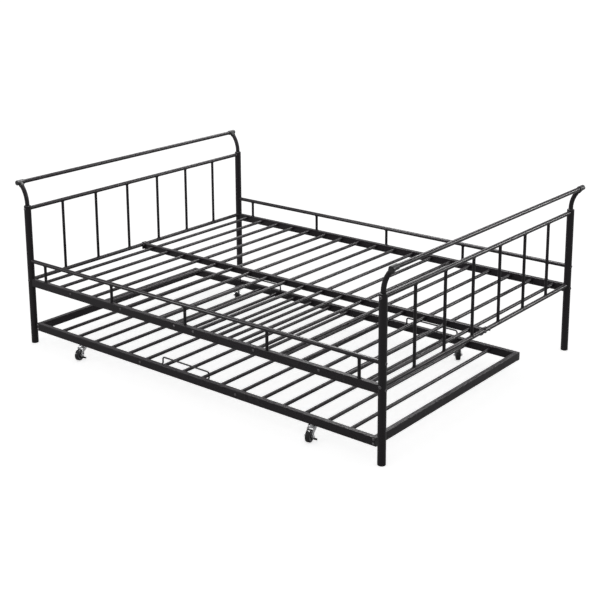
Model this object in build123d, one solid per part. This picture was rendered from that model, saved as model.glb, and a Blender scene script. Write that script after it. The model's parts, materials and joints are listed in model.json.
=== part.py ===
"""A full-size tubular steel bed with a twin-size trundle that rolls out from under its front side.

Millimetres. +X runs from the headboard to the footboard, +Y from the front side to the back side,
+Z up. The origin is on the floor under the middle of the bed.
"""

import os

from build123d import *

# ---------------------------------------------------------------- overall sizes
POST_SPACING_X = 1950.0  # headboard post centre to footboard post centre
POST_SPACING_Y = 1431.0  # front post centre to back post centre
POST_TOP = 652.0  # top edge of a post tube
UPPER_RAIL_DROP = 12.0  # axis of the rail over the spindles, below the post top
LOWER_RAIL_Z = 305.0  # axis of the rail under the spindles
GUARD_RAIL_Z = 394.0  # axis of the low rail that keeps the mattress in
SIDE_RAIL_TOP = 310.0  # the centre rail's top is level with it
SLAT_DROP = 14.0  # axis of the bed's slats, below the side rail's top

# ---------------------------------------------------------------- tubes
POST_R = 16.0
POST_WALL = 1.2
RAIL_R = 9.0  # cross rails, guard rails and scroll rails
RAIL_WALL = 1.0
SPINDLE_R = 6.5  # spindles and guard rail uprights
SPINDLE_WALL = 0.9
SLAT_R = 7.5
SLAT_WALL = 0.9
ARM_R = 10.0
ARM_WALL = 1.2
BOX_WALL = 1.5
BOX_CORNER_R = 2.0
BORE_CORNER_R = 0.5  # extra rounding inside a rectangular tube
SIDE_RAIL_W = 20.0
SIDE_RAIL_H = 35.0
CENTRE_RAIL_W = 20.0
CENTRE_RAIL_H = 30.0
TRUNDLE_RAIL_W = 20.0
TRUNDLE_RAIL_H = 35.0

# ---------------------------------------------------------------- how many
SPINDLES = 6
UPRIGHTS = 5
UPRIGHT_END_MARGIN = 102.0  # from a post's axis to the nearest upright
SLATS = 18
SLAT_END_MARGIN = 65.5  # from a post's axis to the nearest slat
BOLTED_SLATS = (-7, -4, -1, 1, 4, 7)  # counted outwards from the middle
TRUNDLE_SLATS = 16
TRUNDLE_SLAT_END_MARGIN = 138.0  # from the trundle's end to the nearest slat
TRUNDLE_BOLTED_SLATS = (-3, 3)
CASTER_PITCHES = 6  # slat pitches from the middle to a caster

# ---------------------------------------------------------------- scroll ends
ARM_TAIL = 40.0  # straight length inside the post
ARM_RISE = 6.0  # straight length above the post
ARM_BEND_R = 128.0
ARM_BEND_DEG = 41.0
ARM_END_RUN = 18.0  # straight length up to the scroll rail's axis
TEE_WALL = 2.6
TEE_HALF = 20.0
TEE_END_WALL = 3.0
TEE_NECK_WALL = 2.0
TEE_NECK_REACH = 20.0  # from the scroll rail's axis down the arm
TEE_SCREW_OFFSET = 12.0
TEE_SCREW_R = 2.5
TEE_SCREW_HEAD_R = 4.0
TEE_SCREW_HEAD_H = 2.6

# ---------------------------------------------------------------- caps and bushes
CAP_FLANGE = 5.0  # thickness of a foot cap under the post
CAP_EDGE = 2.0  # rounding at the floor
CAP_PLUG = 18.0
BUSH_LENGTH = 44.0
BUSH_RIM = 2.0  # how far the bush stands above the post

# ---------------------------------------------------------------- bolts
BOLT_R = 3.0
BOLT_HEAD_R = 6.5
BOLT_HEAD_H = 4.5
BOLT_REACH = 18.0  # length of bolt inside the threaded insert
INSERT_LENGTH = 24.0
SLAT_BOLT_HEAD_R = 5.5
SLAT_BOLT_HEAD_H = 2.4
SLAT_BOLT_REACH = 14.0
SLAT_INSERT_LENGTH = 18.0
CORNER_BOLT_PITCH = 18.0
BOLT_HOLE_GAP = 0.2  # radial room around a bolt in a drilled wall
THREAD_GAP = 0.05  # radial room between a bolt and its thread
SLIP_GAP = 0.05  # radial room where one tube slides into another

# ---------------------------------------------------------------- centre rail hooks
HOOK_PLATE_W = 50.0
HOOK_PLATE_T = 3.0
HOOK_PLATE_DROP = 20.0  # plate below the lower cross rail's axis
HOOK_PLATE_LIFT = 7.0  # plate above that axis
HOOK_TONGUE_W = 20.0
HOOK_TONGUE_T = 3.0
HOOK_GAP = 0.2
HOOK_BOLT_PITCH = 32.0
HOOK_NUT_AF = 10.0
HOOK_NUT_H = 5.0
NUT_SADDLE = 0.6  # where a nut starts, as a share of the cross rail's radius

# ---------------------------------------------------------------- trundle
TRUNDLE_END_GAP = 7.0  # from a post to the trundle's end
TRUNDLE_FRONT_OUT = 4.5  # how far the front rail stands in front of the posts' axes
TRUNDLE_DEPTH = 1062.0
TRUNDLE_CAP_T = 2.0
TRUNDLE_CAP_PLUG = 15.0
STOP_WIRE_R = 3.5
STOP_WIDTH = 264.0
FRONT_STOP_RISE = 23.0  # from the rail's top to the wire's axis
BACK_STOP_RISE = 36.0  # the same, on the two back stops
STOP_BEND_R = 10.0
STOP_FOOT_BEND_R = 7.0
STOP_FOOT_DROP = 6.0  # from the rail's top down to where the wire comes out
STOP_SLAT_GAP = 1.0  # from the wire down to a slat it passes over
FRONT_STOP_INSET = 11.0  # wire axis from the front rail's inner face
BACK_STOP_INSET = 11.0  # wire axis from the back rail's inner face
FRONT_STOP_X = -30.0
BACK_STOP_HEAD_X = -480.0
BACK_STOP_FOOT_X = 528.0

# ---------------------------------------------------------------- casters
STEM_HEIGHT = 7.0  # from the fork's crown to the rail
WHEEL_R = 25.0
WHEEL_HALF_W = 10.0
WHEEL_DISH = 2.5
WHEEL_RIM = 6.0
WHEEL_EDGE = 3.0
HUB_R = 7.0
AXLE_R = 3.0
AXLE_GAP = 0.06
TRAIL = 24.0
FORK_T = 2.0
FORK_SIDE_GAP = 2.4  # from the wheel's side to the cheek
FORK_HUB_GAP = 0.3
FORK_CROWN_R = 17.0
FORK_WHEEL_GAP = 4.5  # from the wheel's top to the crown
FORK_CROWN_T = 2.5
FORK_BOSS_R = 8.0
CHEEK_SHOULDER = 12.0  # height of the cheek's straight shoulder
CHEEK_SWEEP = 6.0  # how far the cheek leans back below it
KING_PIN_R = 4.0
RACE_R = 14.0
RACE_GAP = 0.2
RACE_T = 2.0
COLLAR_AF = 16.0
STUD_LENGTH = 16.0
RIVET_R = 6.5
RIVET_T = 1.5
NUT_AF = 10.0
NUT_H = 5.0
FRONT_SWIVEL_DEG = 14.0
BACK_SWIVEL_DEG = 38.0
PEDAL_T = 1.6
PEDAL_GAP = 0.2
PEDAL_EYE_R = 6.5
PEDAL_TAB_OUT = 14.0
PEDAL_TAB_W = 9.0
PEDAL_REACH = 15.0
PEDAL_DROP_DEG = 56.0

# ---------------------------------------------------------------- worked out
HALF_X = POST_SPACING_X / 2
HALF_Y = POST_SPACING_Y / 2
UPPER_RAIL_Z = POST_TOP - UPPER_RAIL_DROP
SPINDLE_PITCH = POST_SPACING_Y / (SPINDLES + 1)
UPRIGHT_PITCH = (POST_SPACING_X - 2 * UPRIGHT_END_MARGIN) / (UPRIGHTS - 1)
SIDE_RAIL_Z = SIDE_RAIL_TOP - SIDE_RAIL_H / 2
CENTRE_RAIL_Z = SIDE_RAIL_TOP - CENTRE_RAIL_H / 2
SLAT_Z = SIDE_RAIL_TOP - SLAT_DROP
SLAT_PITCH = (POST_SPACING_X - 2 * SLAT_END_MARGIN) / (SLATS - 1)
TEE_R = RAIL_R + TEE_WALL
TEE_NECK_R = ARM_R + TEE_NECK_WALL
FORK_CROWN_TOP = 2 * WHEEL_R + FORK_WHEEL_GAP + FORK_CROWN_T
TRUNDLE_BOTTOM = FORK_CROWN_TOP + STEM_HEIGHT
TRUNDLE_TOP = TRUNDLE_BOTTOM + TRUNDLE_RAIL_H
TRUNDLE_MID_Z = TRUNDLE_BOTTOM + TRUNDLE_RAIL_H / 2
TRUNDLE_SLAT_Z = TRUNDLE_TOP - STOP_FOOT_DROP - STOP_WIRE_R - STOP_SLAT_GAP - SLAT_R
TRUNDLE_LENGTH = POST_SPACING_X - 2 * (POST_R + TRUNDLE_END_GAP)
TRUNDLE_HALF = TRUNDLE_LENGTH / 2
TRUNDLE_SLAT_PITCH = (TRUNDLE_LENGTH - 2 * TRUNDLE_SLAT_END_MARGIN) / (TRUNDLE_SLATS - 1)
TRUNDLE_FRONT_Y = -HALF_Y - TRUNDLE_FRONT_OUT
TRUNDLE_BACK_Y = TRUNDLE_FRONT_Y + TRUNDLE_DEPTH
CASTER_X = CASTER_PITCHES * TRUNDLE_SLAT_PITCH
FRONT_RAIL_Y = TRUNDLE_FRONT_Y + TRUNDLE_RAIL_W / 2
BACK_RAIL_Y = TRUNDLE_BACK_Y - TRUNDLE_RAIL_W / 2
END_RAIL_X = TRUNDLE_HALF - TRUNDLE_RAIL_W / 2

UP = (Align.CENTER, Align.CENTER, Align.MIN)
ENDS = (("head", -1), ("foot", 1))
SIDES = (("front", -1), ("back", 1))


# ---------------------------------------------------------------- shared shapes
def rod_along(direction, start, length, radius):
    """A solid round bar from start, length long, along a direction."""
    plane = Plane(origin=start, z_dir=direction)
    return plane * Cylinder(radius, length, align=UP)


def tube_along(direction, start, length, radius, wall):
    """A round tube from start, length long, along a direction."""
    plane = Plane(origin=start, z_dir=direction)
    return plane * (Cylinder(radius, length, align=UP) - Cylinder(radius - wall, length, align=UP))


def across_x(x, y, z):
    """A plane that faces +X, with +Y to its right."""
    return Plane(origin=(x, y, z), x_dir=(0, 1, 0), z_dir=(1, 0, 0))


def across_y(x, y, z):
    """A plane that faces -Y, with +X to its right."""
    return Plane(origin=(x, y, z), x_dir=(1, 0, 0), z_dir=(0, -1, 0))


def box_section(width, height):
    """The cross section of a rectangular tube with rounded corners."""
    return RectangleRounded(width, height, BOX_CORNER_R) - box_bore(width, height, 0)


def box_bore(width, height, gap):
    """What fits inside that tube, with a gap all round."""
    inset = BOX_WALL + gap
    return RectangleRounded(width - 2 * inset, height - 2 * inset, BOX_CORNER_R - BOX_WALL + BORE_CORNER_R)


def box_tube_x(length, centre, width, height):
    """A rectangular tube along X, width along Y."""
    face = across_x(centre[0] - length / 2, centre[1], centre[2])
    return extrude(face * box_section(width, height), length)


def box_tube_y(length, centre, width, height):
    """A rectangular tube along Y, width along X."""
    face = across_y(centre[0], centre[1] + length / 2, centre[2])
    return extrude(face * box_section(width, height), length)


def post_core(sx, sy):
    """A solid bar as wide as a post, used to shape whatever meets it."""
    return rod_along((0, 0, 1), (sx * HALF_X, sy * HALF_Y, 0), POST_TOP, POST_R)


def lower_rail_core(sx, radius):
    """A solid bar around the axis of a lower cross rail."""
    return rod_along((0, 1, 0), (sx * HALF_X, -HALF_Y, LOWER_RAIL_Z), POST_SPACING_Y, radius)


def domed_head(direction, seat, radius, height):
    """A round bolt head with a softened rim, its flat side at seat."""
    plane = Plane(origin=seat, z_dir=direction)
    head = plane * Cylinder(radius, height, align=UP)
    rim = head.edges().filter_by(GeomType.CIRCLE).sort_by(SortBy.RADIUS)
    top = [edge for edge in rim if plane.to_local_coords(edge.center()).Z > height / 2]
    return fillet(top, height * 0.6)


def slat_xs(count, pitch):
    """Places of the slats along X, evenly about the middle."""
    return [(i - (count - 1) / 2) * pitch for i in range(count)]


def bolted_xs(numbers, pitch):
    """Places of the bolted slats: number 1 is the first slat from the middle."""
    return [(n - 0.5 if n > 0 else n + 0.5) * pitch for n in numbers]


# ---------------------------------------------------------------- posts
def post_bolt_places(sx, sy):
    """Start and direction of each bolt that goes through one post, with how far out the far rail is."""
    x = sx * HALF_X
    y = sy * HALF_Y
    places = [((x, y, UPPER_RAIL_Z), (0, sy, 0)), ((x, y, LOWER_RAIL_Z), (0, sy, 0))]
    places += [((x, y, GUARD_RAIL_Z), (sx, 0, 0)), ((x, y, SIDE_RAIL_Z), (sx, 0, 0))]
    return places


def drilled(body, sx, sy, gap):
    """body with a clear hole for every bolt through the post at sx, sy."""
    for centre, outwards in post_bolt_places(sx, sy):
        direction = Vector(*outwards)
        start = Vector(*centre) - direction * (POST_R + 2)
        body = body - rod_along(outwards, start, 2 * POST_R + 4, BOLT_R + gap)
    return body


def post(sx, sy):
    """A post tube, drilled for its four bolts."""
    bottom = (sx * HALF_X, sy * HALF_Y, CAP_FLANGE)
    tube = tube_along((0, 0, 1), bottom, POST_TOP - CAP_FLANGE, POST_R, POST_WALL)
    return drilled(tube, sx, sy, BOLT_HOLE_GAP)


def foot_cap(sx, sy):
    """A plastic cap: a flange that meets the floor and a plug inside the post."""
    base = (sx * HALF_X, sy * HALF_Y, 0)
    flange = rod_along((0, 0, 1), base, CAP_FLANGE, POST_R)
    floor_edge = flange.edges().filter_by(GeomType.CIRCLE).sort_by(Axis.Z)[0]
    flange = fillet(floor_edge, CAP_EDGE)
    return flange + rod_along((0, 0, 1), base, CAP_FLANGE + CAP_PLUG, POST_R - POST_WALL - SLIP_GAP)


def post_bush(sx, sy):
    """The sleeve in the top of a post that holds the scroll arm."""
    outer_r = POST_R - POST_WALL - SLIP_GAP
    bottom = (sx * HALF_X, sy * HALF_Y, POST_TOP - BUSH_LENGTH)
    body = rod_along((0, 0, 1), bottom, BUSH_LENGTH, outer_r)
    rim = rod_along((0, 0, 1), (bottom[0], bottom[1], POST_TOP), BUSH_RIM, POST_R - 0.4)
    rim_edge = rim.edges().filter_by(GeomType.CIRCLE).sort_by(Axis.Z)[-1]
    rim = fillet(rim_edge, BUSH_RIM * 0.6)
    bore = rod_along((0, 0, 1), bottom, BUSH_LENGTH + BUSH_RIM, ARM_R + SLIP_GAP)
    return drilled(body + rim - bore, sx, sy, BOLT_HOLE_GAP)


# ---------------------------------------------------------------- scroll ends
def arm_end():
    """How far out from the post's axis, and how far above its top, the scroll rail's axis is."""
    bend = Vector(ARM_BEND_R, 0).rotate(Axis.Z, ARM_BEND_DEG)
    run = Vector(0, ARM_END_RUN).rotate(Axis.Z, -ARM_BEND_DEG)
    return ARM_BEND_R - bend.X + run.X, ARM_RISE + bend.Y + run.Y


ARM_OUT, ARM_UP = arm_end()
SCROLL_X = HALF_X + ARM_OUT
SCROLL_Z = POST_TOP + ARM_UP


def arm_direction(sx):
    """The way a scroll arm points where it meets the scroll rail."""
    run = Vector(0, 1).rotate(Axis.Z, -ARM_BEND_DEG)
    return Vector(sx * run.X, 0, run.Y)


def scroll_arm(sx, sy):
    """A tube that stands in the post, bends outwards and ends against the scroll rail's tee."""
    x = sx * HALF_X
    y = sy * HALF_Y
    straight = tube_along((0, 0, 1), (x, y, POST_TOP - ARM_TAIL), ARM_TAIL + ARM_RISE, ARM_R, ARM_WALL)
    bend_start = Plane(origin=(x, y, POST_TOP + ARM_RISE))
    ring = bend_start * (Circle(ARM_R) - Circle(ARM_R - ARM_WALL))
    bend_axis = Axis((x + sx * ARM_BEND_R, y, POST_TOP + ARM_RISE), (0, sx, 0))
    bend = revolve(ring, bend_axis, ARM_BEND_DEG)
    direction = arm_direction(sx)
    end = Vector(sx * SCROLL_X, y, SCROLL_Z)
    run = tube_along(direction, end - direction * ARM_END_RUN, ARM_END_RUN, ARM_R, ARM_WALL)
    barrel = rod_along((0, 1, 0), (end.X, y - TEE_HALF, end.Z), 2 * TEE_HALF, TEE_R + SLIP_GAP)
    return drilled(straight + bend + run - barrel, sx, sy, BOLT_HOLE_GAP)


def tee_screw_place(sx, sy):
    """Where a tee's screw stands on its barrel, and the way its head faces."""
    outwards = Vector(sx, 0, 0)
    seat = Vector(sx * SCROLL_X, sy * (HALF_Y + TEE_SCREW_OFFSET), SCROLL_Z)
    return seat, outwards


def scroll_tee(sx, sy):
    """A tee with a closed end that joins a scroll arm to the scroll rail."""
    y = sy * HALF_Y
    end = Vector(sx * SCROLL_X, y, SCROLL_Z)
    direction = arm_direction(sx)
    barrel = rod_along((0, 1, 0), (end.X, y - TEE_HALF, end.Z), 2 * TEE_HALF, TEE_R)
    closed_edge = barrel.edges().filter_by(GeomType.CIRCLE).sort_by(Axis.Y)[0 if sy < 0 else -1]
    barrel = fillet(closed_edge, TEE_END_WALL)
    neck = rod_along(-direction, end, TEE_NECK_REACH, TEE_NECK_R)
    arm_room = rod_along(-direction, end, TEE_NECK_REACH + 1, ARM_R + SLIP_GAP)
    core = rod_along((0, 1, 0), (end.X, y - TEE_HALF, end.Z), 2 * TEE_HALF, TEE_R)
    neck = neck - arm_room - core
    room_length = 2 * TEE_HALF - TEE_END_WALL
    rail_room = rod_along((0, sy, 0), (end.X, y - sy * TEE_HALF, end.Z), room_length, RAIL_R + SLIP_GAP)
    seat, outwards = tee_screw_place(sx, sy)
    hole = rod_along(outwards, seat, TEE_R + 2, TEE_SCREW_R + BOLT_HOLE_GAP)
    return barrel + neck - rail_room - hole


def tee_screw(sx, sy):
    """A short screw through the tee and the wall of the scroll rail."""
    seat, outwards = tee_screw_place(sx, sy)
    start = seat + outwards * (RAIL_R - 4)
    shank = rod_along(outwards, start, TEE_R - RAIL_R + 4 + 0.5, TEE_SCREW_R)
    head_seat = seat + outwards * (TEE_R - 1)
    head = domed_head(outwards, head_seat, TEE_SCREW_HEAD_R, TEE_SCREW_HEAD_H + 1)
    barrel = rod_along((0, 1, 0), (seat.X, seat.Y - 10, seat.Z), 20, TEE_R)
    return shank + (head - barrel)


def scroll_rail(sx):
    """The topmost rail of the headboard or footboard, drilled for its screws."""
    half = HALF_Y + TEE_HALF - TEE_END_WALL
    rail = tube_along((0, 1, 0), (sx * SCROLL_X, -half, SCROLL_Z), 2 * half, RAIL_R, RAIL_WALL)
    for sy in (-1, 1):
        seat, outwards = tee_screw_place(sx, sy)
        rail = rail - rod_along(outwards, seat, RAIL_R + 2, TEE_SCREW_R + BOLT_HOLE_GAP)
    return rail


# ---------------------------------------------------------------- headboard and footboard
def cross_rail(sx, z):
    """A rail between two posts, its ends shaped to them."""
    rail = tube_along((0, 1, 0), (sx * HALF_X, -HALF_Y, z), POST_SPACING_Y, RAIL_R, RAIL_WALL)
    return rail - post_core(sx, -1) - post_core(sx, 1)


def lower_cross_rail(sx):
    """The cross rail that the centre rail hooks on, drilled for the hook's bolts."""
    rail = cross_rail(sx, LOWER_RAIL_Z)
    for y in (-HOOK_BOLT_PITCH / 2, HOOK_BOLT_PITCH / 2):
        rail = rail - rod_along((1, 0, 0), (sx * HALF_X - 20, y, LOWER_RAIL_Z), 40, BOLT_R + BOLT_HOLE_GAP)
    return rail


def spindles(sx):
    """The upright tubes between the two cross rails, their ends shaped to them."""
    found = []
    upper = rod_along((0, 1, 0), (sx * HALF_X, -HALF_Y, UPPER_RAIL_Z), POST_SPACING_Y, RAIL_R)
    lower = lower_rail_core(sx, RAIL_R)
    for i in range(SPINDLES):
        y = (i - (SPINDLES - 1) / 2) * SPINDLE_PITCH
        start = (sx * HALF_X, y, LOWER_RAIL_Z)
        spindle = tube_along((0, 0, 1), start, UPPER_RAIL_Z - LOWER_RAIL_Z, SPINDLE_R, SPINDLE_WALL)
        found.append(spindle - upper - lower)
    return found


# ---------------------------------------------------------------- sides
def side_rail(sy):
    """A rectangular tube between two posts, with a socket for every slat."""
    y = sy * HALF_Y
    rail = box_tube_x(POST_SPACING_X, (0, y, SIDE_RAIL_Z), SIDE_RAIL_W, SIDE_RAIL_H)
    for x in slat_xs(SLATS, SLAT_PITCH):
        rail = rail - rod_along((0, -sy, 0), (x, y, SLAT_Z), SIDE_RAIL_W, SLAT_R + SLIP_GAP)
    for x in bolted_xs(BOLTED_SLATS, SLAT_PITCH):
        rail = rail - rod_along((0, sy, 0), (x, y, SLAT_Z), SIDE_RAIL_W, BOLT_R + BOLT_HOLE_GAP)
    return rail - post_core(-1, sy) - post_core(1, sy)


def guard_rail(sy):
    """The low round rail over a side rail."""
    rail = tube_along((1, 0, 0), (-HALF_X, sy * HALF_Y, GUARD_RAIL_Z), POST_SPACING_X, RAIL_R, RAIL_WALL)
    return rail - post_core(-1, sy) - post_core(1, sy)


def guard_uprights(sy):
    """The short tubes between a side rail and its guard rail."""
    found = []
    y = sy * HALF_Y
    guard = rod_along((1, 0, 0), (-HALF_X, y, GUARD_RAIL_Z), POST_SPACING_X, RAIL_R)
    for i in range(UPRIGHTS):
        x = (i - (UPRIGHTS - 1) / 2) * UPRIGHT_PITCH
        start = (x, y, SIDE_RAIL_TOP)
        height = GUARD_RAIL_Z - SIDE_RAIL_TOP
        found.append(tube_along((0, 0, 1), start, height, SPINDLE_R, SPINDLE_WALL) - guard)
    return found


# ---------------------------------------------------------------- centre rail
HOOK_INNER_X = HALF_X - RAIL_R - HOOK_GAP  # the plate's face towards the cross rail
CENTRE_RAIL_HALF = HOOK_INNER_X - HOOK_PLATE_T


def centre_rail():
    """The rectangular tube along the middle, with a socket for every slat on both sides."""
    rail = box_tube_x(2 * CENTRE_RAIL_HALF, (0, 0, CENTRE_RAIL_Z), CENTRE_RAIL_W, CENTRE_RAIL_H)
    for x in slat_xs(SLATS, SLAT_PITCH):
        start = (x, -CENTRE_RAIL_W, SLAT_Z)
        rail = rail - rod_along((0, 1, 0), start, 2 * CENTRE_RAIL_W, SLAT_R + SLIP_GAP)
    return rail


def centre_rail_hook(sx):
    """An end plate with a tongue that goes over the lower cross rail."""
    inner = sx * CENTRE_RAIL_HALF
    plate_h = HOOK_PLATE_DROP + HOOK_PLATE_LIFT
    plate_z = LOWER_RAIL_Z + (HOOK_PLATE_LIFT - HOOK_PLATE_DROP) / 2
    plate = Pos(inner + sx * HOOK_PLATE_T / 2, 0, plate_z) * Box(HOOK_PLATE_T, HOOK_PLATE_W, plate_h)
    upright = plate.edges().filter_by(Axis.X)
    plate = fillet(upright, 4.0)
    wrap_start = (sx * HALF_X, -HOOK_TONGUE_W / 2, LOWER_RAIL_Z)
    wrap_r = RAIL_R + HOOK_GAP + HOOK_TONGUE_T
    wrap = tube_along((0, 1, 0), wrap_start, HOOK_TONGUE_W, wrap_r, HOOK_TONGUE_T)
    below = Pos(sx * HALF_X, 0, LOWER_RAIL_Z - 30) * Box(80, 80, 60)
    tongue = wrap - below
    hook = plate + tongue
    for y in (-HOOK_BOLT_PITCH / 2, HOOK_BOLT_PITCH / 2):
        hook = hook - rod_along((1, 0, 0), (sx * HALF_X - 30, y, LOWER_RAIL_Z), 60, BOLT_R + BOLT_HOLE_GAP)
    return hook


def hook_fasteners(sx):
    """The two bolts of a hook, with their heads on the plate and their nuts outside the cross rail."""
    found = []
    face = sx * CENTRE_RAIL_HALF
    shank_end = sx * (HALF_X + RAIL_R + HOOK_NUT_H + 1.5)
    length = abs(shank_end - face)
    for y in (-HOOK_BOLT_PITCH / 2, HOOK_BOLT_PITCH / 2):
        shank = rod_along((sx, 0, 0), (face, y, LOWER_RAIL_Z), length, BOLT_R)
        head = domed_head((-sx, 0, 0), (face, y, LOWER_RAIL_Z), SLAT_BOLT_HEAD_R, SLAT_BOLT_HEAD_H)
        found.append(head + shank)
        side = across_x(sx * (HALF_X + RAIL_R * NUT_SADDLE), y, LOWER_RAIL_Z)
        nut_height = RAIL_R * (1 - NUT_SADDLE) + HOOK_NUT_H
        blank = extrude(side * RegularPolygon(HOOK_NUT_AF / 2, 6, major_radius=False), sx * nut_height)
        bore = rod_along((sx, 0, 0), (sx * HALF_X, y, LOWER_RAIL_Z), 40, BOLT_R + THREAD_GAP)
        found.append(blank - bore - lower_rail_core(sx, RAIL_R))
    return found


# ---------------------------------------------------------------- slats
def bed_slats(sy):
    """The round slats of one half, from the side rail's outer wall to the middle of the centre rail."""
    outer = HALF_Y + SIDE_RAIL_W / 2 - BOX_WALL
    inner = 1.0
    return [
        tube_along((0, sy, 0), (x, sy * inner, SLAT_Z), outer - inner, SLAT_R, SLAT_WALL)
        for x in slat_xs(SLATS, SLAT_PITCH)
    ]


def slat_insert(x, wall_y, z, inwards):
    """A threaded plug in the end of a slat."""
    start = (x, wall_y, z)
    plug = rod_along((0, inwards, 0), start, SLAT_INSERT_LENGTH, SLAT_R - SLAT_WALL - SLIP_GAP)
    return plug - rod_along((0, inwards, 0), start, SLAT_INSERT_LENGTH, BOLT_R + THREAD_GAP)


def slat_bolt(x, face_y, z, outwards):
    """A button-head bolt through a rail's outer wall into a slat's plug."""
    head = domed_head((0, outwards, 0), (x, face_y, z), SLAT_BOLT_HEAD_R, SLAT_BOLT_HEAD_H)
    shank = rod_along((0, -outwards, 0), (x, face_y, z), BOX_WALL + SLAT_BOLT_REACH, BOLT_R)
    return head + shank


def bed_slat_inserts():
    """The plugs of every bolted slat of the bed."""
    wall = HALF_Y + SIDE_RAIL_W / 2 - BOX_WALL
    xs = bolted_xs(BOLTED_SLATS, SLAT_PITCH)
    return [slat_insert(x, sy * wall, SLAT_Z, -sy) for sy in (-1, 1) for x in xs]


def bed_slat_bolts():
    """The bolts of every bolted slat of the bed."""
    face = HALF_Y + SIDE_RAIL_W / 2
    xs = bolted_xs(BOLTED_SLATS, SLAT_PITCH)
    return [slat_bolt(x, sy * face, SLAT_Z, sy) for sy in (-1, 1) for x in xs]


# ---------------------------------------------------------------- post bolts and their threaded inserts
def rail_insert(sx, sy, centre, outwards):
    """The threaded plug in the end of a rail, shaped to the post."""
    inwards = Vector(*outwards) * -1
    middle = Vector(*centre)
    if centre[2] == SIDE_RAIL_Z:
        face = across_x(middle.X, middle.Y, middle.Z)
        section = box_bore(SIDE_RAIL_W, SIDE_RAIL_H, SLIP_GAP)
        plug = extrude(face * section, inwards.X * (POST_R + INSERT_LENGTH))
    else:
        plug = rod_along(inwards, centre, POST_R + INSERT_LENGTH, RAIL_R - RAIL_WALL - SLIP_GAP)
    bore = rod_along(inwards, centre, POST_R + INSERT_LENGTH + 1, BOLT_R + THREAD_GAP)
    return plug - bore - post_core(sx, sy)


def post_bolt(sx, sy, centre, outwards):
    """A bolt with its head on the outside of a post and its end in a rail's plug."""
    direction = Vector(*outwards)
    seat = Vector(*centre) + direction * (POST_R - 3)
    end = Vector(*centre) - direction * (POST_R + BOLT_REACH)
    head = domed_head(outwards, seat, BOLT_HEAD_R, BOLT_HEAD_H + 3) - post_core(sx, sy)
    shank = rod_along(outwards, end, 2 * POST_R + BOLT_REACH + 1, BOLT_R)
    return head + shank


def each_post(make):
    """What make returns for every bolt of every post."""
    found = []
    for sx in (-1, 1):
        for sy in (-1, 1):
            for centre, outwards in post_bolt_places(sx, sy):
                found.append(make(sx, sy, centre, outwards))
    return found


# ---------------------------------------------------------------- trundle frame
def trundle_long_rail(sy):
    """The front or back rail, with a socket for every slat and holes for bolts and casters."""
    y = FRONT_RAIL_Y if sy < 0 else BACK_RAIL_Y
    length = TRUNDLE_LENGTH - 2 * TRUNDLE_CAP_T
    rail = box_tube_x(length, (0, y, TRUNDLE_MID_Z), TRUNDLE_RAIL_W, TRUNDLE_RAIL_H)
    for x in slat_xs(TRUNDLE_SLATS, TRUNDLE_SLAT_PITCH):
        rail = rail - rod_along((0, -sy, 0), (x, y, TRUNDLE_SLAT_Z), TRUNDLE_RAIL_W, SLAT_R + SLIP_GAP)
    for x in bolted_xs(TRUNDLE_BOLTED_SLATS, TRUNDLE_SLAT_PITCH):
        rail = rail - rod_along((0, sy, 0), (x, y, TRUNDLE_SLAT_Z), TRUNDLE_RAIL_W, BOLT_R + BOLT_HOLE_GAP)
    for x, z in corner_bolt_places():
        start = (x, y - TRUNDLE_RAIL_W, z)
        rail = rail - rod_along((0, 1, 0), start, 2 * TRUNDLE_RAIL_W, BOLT_R + BOLT_HOLE_GAP)
    for x in (-CASTER_X, CASTER_X):
        rail = rail - rod_along((0, 0, 1), (x, y, TRUNDLE_BOTTOM - 2), 10, KING_PIN_R + BOLT_HOLE_GAP)
    return rail


def corner_bolt_places():
    """Where the bolts into the end rails are, as X and Z."""
    offsets = (-CORNER_BOLT_PITCH / 2, CORNER_BOLT_PITCH / 2)
    return [(sx * END_RAIL_X, TRUNDLE_MID_Z + dz) for sx in (-1, 1) for dz in offsets]


END_RAIL_START = TRUNDLE_FRONT_Y + TRUNDLE_RAIL_W
END_RAIL_END = TRUNDLE_BACK_Y - TRUNDLE_RAIL_W
TRUNDLE_MID_Y = (TRUNDLE_FRONT_Y + TRUNDLE_BACK_Y) / 2


def trundle_end_rail(sx):
    """A rail between the front and back rails, at the head or foot end."""
    length = END_RAIL_END - END_RAIL_START
    centre = (sx * END_RAIL_X, TRUNDLE_MID_Y, TRUNDLE_MID_Z)
    return box_tube_y(length, centre, TRUNDLE_RAIL_W, TRUNDLE_RAIL_H)


def trundle_end_blocks():
    """The threaded blocks in the ends of the end rails."""
    found = []
    section = box_bore(TRUNDLE_RAIL_W, TRUNDLE_RAIL_H, SLIP_GAP)
    for sx in (-1, 1):
        for sy, end in ((-1, END_RAIL_START), (1, END_RAIL_END)):
            face = across_y(sx * END_RAIL_X, end, TRUNDLE_MID_Z)
            block = extrude(face * section, sy * INSERT_LENGTH)
            for x, z in corner_bolt_places():
                block = block - rod_along((0, -sy, 0), (x, end, z), INSERT_LENGTH, BOLT_R + THREAD_GAP)
            found.append(block)
    return found


def trundle_corner_bolts():
    """The bolts that hold the end rails to the front and back rails."""
    found = []
    for sy, face in ((-1, TRUNDLE_FRONT_Y), (1, TRUNDLE_BACK_Y)):
        for x, z in corner_bolt_places():
            head = domed_head((0, sy, 0), (x, face, z), SLAT_BOLT_HEAD_R, SLAT_BOLT_HEAD_H)
            found.append(head + rod_along((0, -sy, 0), (x, face, z), TRUNDLE_RAIL_W + BOLT_REACH, BOLT_R))
    return found


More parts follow.
